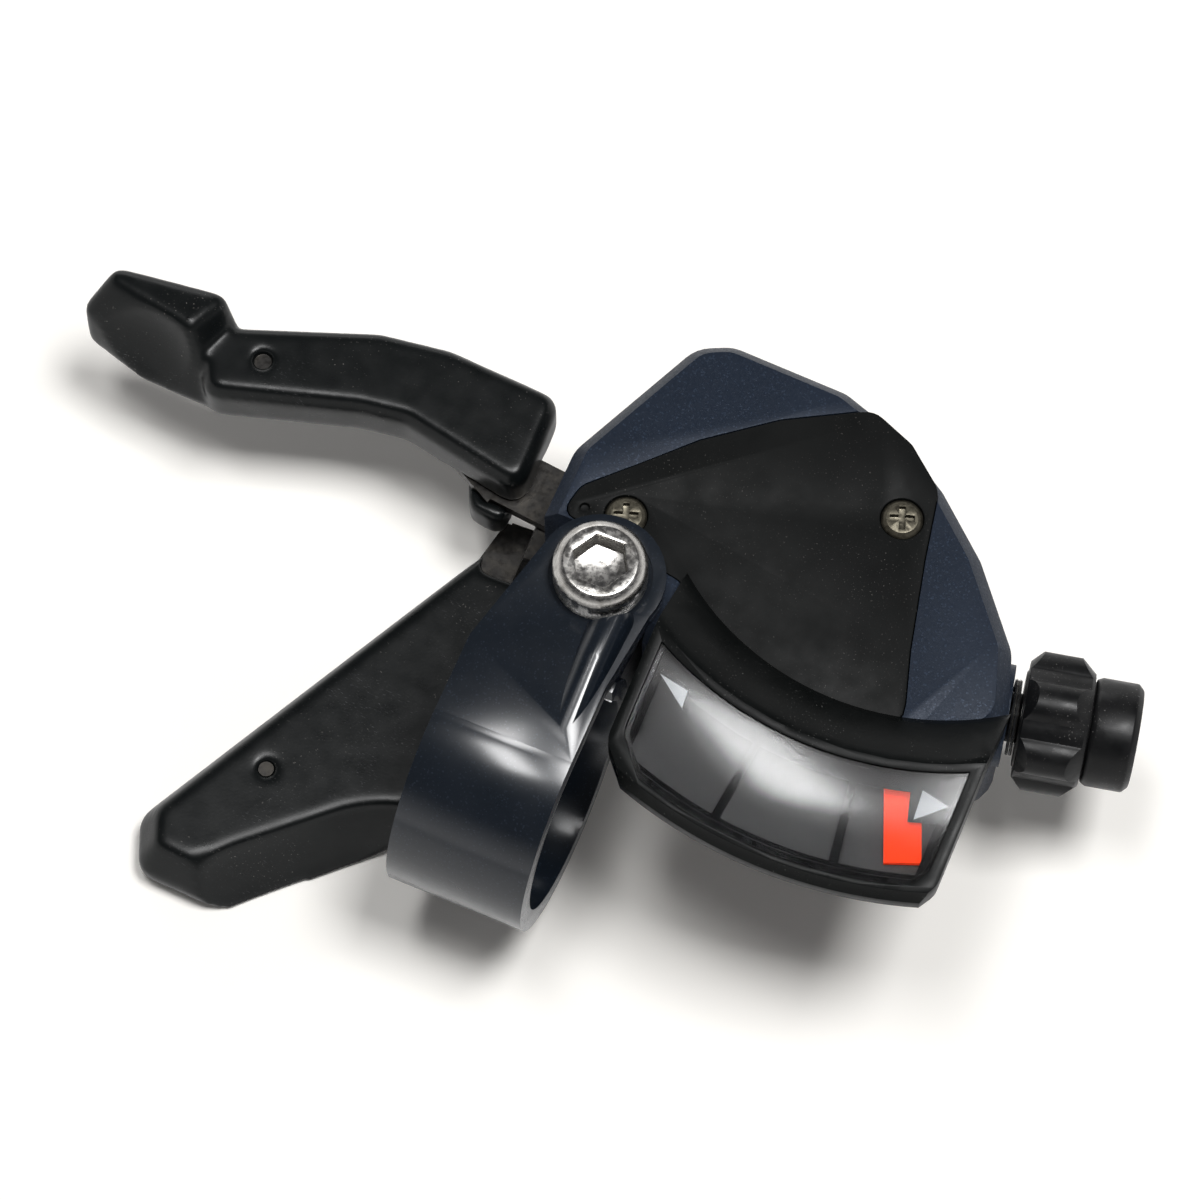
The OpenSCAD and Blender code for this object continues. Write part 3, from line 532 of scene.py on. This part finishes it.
RIDGE_RADIUS = 34.9 * MM
RIDGE_HEIGHT = 16.2 * MM
LENS_INSET = 0.25 * MM
LENS_FALL = 1.9 / 12.5
LENS_THICKNESS = 1 * MM
PRINT_GAP = 0.035 * MM
PRINT_THICKNESS = 0.03 * MM
PRINT_LEFT = 11.15 * MM
PRINT_RIGHT = 42.65 * MM
FRAME_WIDTH = 0.75 * MM
PRINT_RADII = [35.1, 37.4, 40.3, 45.3, 45.75]
DIVIDERS = [(-7.9, -6.7), (7.5, 8.7)]
LEFT_CELL_ANGLES = [-18, -15, -12, -10]
MIDDLE_CELL_ANGLES = [-5, -3, 0, 3, 5]
RIGHT_CELL_ANGLES = [10, 12, 14, 16.6]
BACKING_CENTRE = 26.9 * MM
BACKING_WIDTH = 31.0 * MM
BACKING_RADII = [36.6 * MM, 45.5 * MM]
BACKING_THICKNESS = 0.08 * MM
BACKING_STEPS = 24
FRAME_FLOOR_HEIGHT = 12.2 * MM
TRIANGLE_GAP = 0.5 * PRINT_GAP
TRIANGLE_THICKNESS = 0.012 * MM
TRIANGLES = {
    "left_triangle": [(37.6, -25.4), (36.95, -20.6), (38.6, -19.4)],
    "right_triangle": [(37.1, 18.4), (38.6, 22.3), (40.0, 17.4)],
}


def on_lens(radius, angle, depth):
    """A point at this depth under the lens's outer face."""
    height = RIDGE_HEIGHT - LENS_INSET - depth - (radius - RIDGE_RADIUS) * LENS_FALL
    return ARC_CENTRE + Vector((radius * math.sin(angle), -radius * math.cos(angle), height))


def face_up(piece):
    """Turns a flat sheet's faces upward."""
    if piece.data.polygons[0].normal.z < 0:
        piece.data.flip_normals()


def thicken(piece, thickness):
    """Gives a sheet its thickness, below the sheet as drawn."""
    face_up(piece)
    modify(piece, "SOLIDIFY", thickness=thickness, offset=-1)


def straight(x):
    """A line of the print that runs along Y: its angle at each radius."""
    return lambda radius: math.asin((x - ARC_CENTRE.x) / radius)


def radial(angle):
    """A line of the print that runs out from the arc's centre, with one angle at every radius."""
    return lambda radius: math.radians(angle)


def grid_sheet(across, along):
    """A flat sheet of one by one, to be placed point by point."""
    deselect()
    bpy.ops.mesh.primitive_grid_add(x_subdivisions=across, y_subdivisions=along, size=1)
    return bpy.context.object


def cut_cells(piece, across, along, inked):
    """Deletes the sheet's faces that inked(column, row) says no to. A new sheet is all marked,
    so its marks are cleared first."""
    bpy.context.tool_settings.mesh_select_mode = (False, False, True)
    start_editing(piece, "DESELECT")
    stop_editing()
    for face in piece.data.polygons:
        column = int((face.center.x + 0.5) * across)
        row = int((face.center.y + 0.5) * along)
        face.select = not inked(column, row)
    bpy.ops.object.mode_set(mode="EDIT")
    bpy.ops.mesh.delete(type="FACE")
    stop_editing()
    bpy.context.tool_settings.mesh_select_mode = (True, False, False)


def lens_print():
    """The black print that frames the window's three cells."""
    angles = [*LEFT_CELL_ANGLES, *DIVIDERS[0], *MIDDLE_CELL_ANGLES, *DIVIDERS[1], *RIGHT_CELL_ANGLES]
    columns = [straight(PRINT_LEFT), straight(PRINT_LEFT + FRAME_WIDTH)]
    columns += [radial(angle) for angle in angles]
    columns += [straight(PRINT_RIGHT - FRAME_WIDTH), straight(PRINT_RIGHT)]
    rows = [radius * MM for radius in PRINT_RADII]
    across = len(columns) - 1
    along = len(rows) - 1
    inked_columns = [0, across - 1] + [2 + angles.index(low) for low, high in DIVIDERS]
    corner = across - 2

    def inked(column, row):
        return column in inked_columns or row in (0, along - 1) or (row == 1 and column >= corner)

    piece = grid_sheet(across, along)
    cut_cells(piece, across, along, inked)
    for point in piece.data.vertices:
        line = columns[round((point.co.x + 0.5) * across)]
        radius = rows[round((point.co.y + 0.5) * along)]
        point.co = on_lens(radius, line(radius), LENS_THICKNESS + PRINT_GAP)
    thicken(piece, PRINT_THICKNESS)
    fit_out(piece, "lens_print", print_black, "root")


def window_backing():
    """The grey plastic behind the window's cells, on the frame's floor, which the flag passes over."""
    piece = grid_sheet(BACKING_STEPS, 1)
    for point in piece.data.vertices:
        x = BACKING_CENTRE + point.co.x * BACKING_WIDTH
        radius = BACKING_RADII[0] if point.co.y < 0 else BACKING_RADII[1]
        y = ARC_CENTRE.y - math.sqrt(radius * radius - (x - ARC_CENTRE.x) ** 2)
        point.co = (x, y, FRAME_FLOOR_HEIGHT + BACKING_THICKNESS)
    thicken(piece, BACKING_THICKNESS)
    fit_out(piece, "window_backing", backing_grey, "root")


def triangle(name, corners):
    """A pale printed triangle just under the lens, from the radius and angle of each corner."""
    deselect()
    bpy.ops.mesh.primitive_circle_add(vertices=3, radius=MM, fill_type="NGON")
    piece = bpy.context.object
    for point, (radius, angle) in zip(piece.data.vertices, corners):
        point.co = on_lens(radius * MM, math.radians(angle), LENS_THICKNESS + TRIANGLE_GAP)
    thicken(piece, TRIANGLE_THICKNESS)
    fit_out(piece, name, print_pale, "root")


soften("window_bezel", "window_frame", bezel_black, width=0.25)
lens_print()
window_backing()
for name, corners in TRIANGLES.items():
    triangle(name, corners)

# The cable adjuster

soften("adjuster_barrel", "adjuster_end", adjuster_black, width=0.25)
soften("adjuster_grip", "lobed_collar", adjuster_black, width=0.3)


# Floor, world, lights and camera

VIEW_WIDTH = 120 * MM
VIEW_CENTRE = Vector((1.76, 19.4, 5)) * MM
CAMERA_DISTANCE = 450 * MM
CAMERA_AZIMUTH = math.radians(23)
CAMERA_ELEVATION = math.radians(68)
SENSOR_WIDTH = 36
FLOOR_SIZE = 4
FLOOR_GAP = 0.3 * MM
FLOOR_COLOUR = (0.80, 0.795, 0.785)
FLOOR_COLOUR_SEEN = (1.05, 1.029, 0.987)
SKY_STRENGTH = 1.1
SKY_LEVEL_COLOUR = (1.0, 0.99, 0.98)
SKY_TOP_COLOUR = (0.05, 0.05, 0.053)
LAMP_DISTANCE = 900 * MM


def direction(azimuth, elevation):
    """From the object towards the camera. Azimuth 0 is on the -Y side."""
    flat = math.cos(elevation)
    return Vector((math.sin(azimuth) * flat, -math.cos(azimuth) * flat, math.sin(elevation)))


def look_at(thing, centre, towards, distance):
    """Puts a camera or lamp at this distance from the centre and turns it to the centre."""
    thing.location = centre + towards.normalized() * distance
    thing.rotation_mode = "QUATERNION"
    thing.rotation_quaternion = (-towards.normalized()).to_track_quat("-Z", "Y")


def make_camera():
    data = bpy.data.cameras.new("camera")
    data.sensor_width = SENSOR_WIDTH
    data.lens = SENSOR_WIDTH * CAMERA_DISTANCE / VIEW_WIDTH
    data.clip_start = 0.01
    data.clip_end = 10
    camera = bpy.data.objects.new("camera", data)
    bpy.context.scene.collection.objects.link(camera)
    look_at(camera, VIEW_CENTRE, direction(CAMERA_AZIMUTH, CAMERA_ELEVATION), CAMERA_DISTANCE)
    bpy.context.scene.camera = camera


def soft_lamp(name, towards, width, height, power):
    data = bpy.data.lights.new(name, "AREA")
    data.shape = "RECTANGLE"
    data.size = width * MM
    data.size_y = height * MM
    data.energy = power
    lamp = bpy.data.objects.new(name, data)
    bpy.context.scene.collection.objects.link(lamp)
    look_at(lamp, VIEW_CENTRE, Vector(towards), LAMP_DISTANCE)


def floor_white():
    """White card, shown brighter to the camera alone, with its shadows kept."""
    white = Finish("floor_white", FLOOR_COLOUR, roughness=0.9, specular=0.0)
    seen = white.add("LightPath").outputs["Is Camera Ray"]
    card = white.add("BsdfDiffuse")
    mix = white.add("Mix")
    mix.data_type = "RGBA"
    mix.inputs["A"].default_value = (*FLOOR_COLOUR, 1.0)
    mix.inputs["B"].default_value = (*FLOOR_COLOUR_SEEN, 1.0)
    white.link(seen, mix.inputs["Factor"])
    white.link(mix.outputs["Result"], card.inputs["Color"])
    white.link(card.outputs["BSDF"], white.tree.nodes["Material Output"].inputs["Surface"])
    return white.material


def make_floor():
    deselect()
    bpy.ops.mesh.primitive_plane_add(size=FLOOR_SIZE, location=(0, 0, cad_low.z - FLOOR_GAP))
    floor = bpy.context.object
    settle(floor)
    floor.name = "floor"
    floor.data.materials.append(floor_white())


def make_world():
    """A room that is bright at eye level and below it, and dark above."""
    world = bpy.data.worlds.new("studio")
    bpy.context.scene.world = world
    world.use_nodes = True
    tree = world.node_tree
    tree.nodes["Background"].inputs["Strength"].default_value = SKY_STRENGTH
    place = tree.nodes.new("ShaderNodeTexCoord").outputs["Generated"]
    split = tree.nodes.new("ShaderNodeSeparateXYZ")
    fade = tree.nodes.new("ShaderNodeValToRGB")
    level, top = fade.color_ramp.elements
    level.position = 0.05
    level.color = (*SKY_LEVEL_COLOUR, 1.0)
    top.position = 0.50
    top.color = (*SKY_TOP_COLOUR, 1.0)
    tree.links.new(place, split.inputs["Vector"])
    tree.links.new(split.outputs["Z"], fade.inputs["Fac"])
    tree.links.new(fade.outputs["Color"], tree.nodes["Background"].inputs["Color"])


make_camera()
make_floor()
make_world()
soft_lamp("main_light", (0.24, 0.05, 0.97), width=260, height=220, power=5.6)
soft_lamp("ceiling_light", (-0.10, -0.06, 0.99), width=250, height=130, power=2.4)
soft_lamp("window_light", (-0.50, 0.80, 0.33), width=500, height=300, power=0.8)
bpy.context.scene.view_settings.view_transform = "Standard"
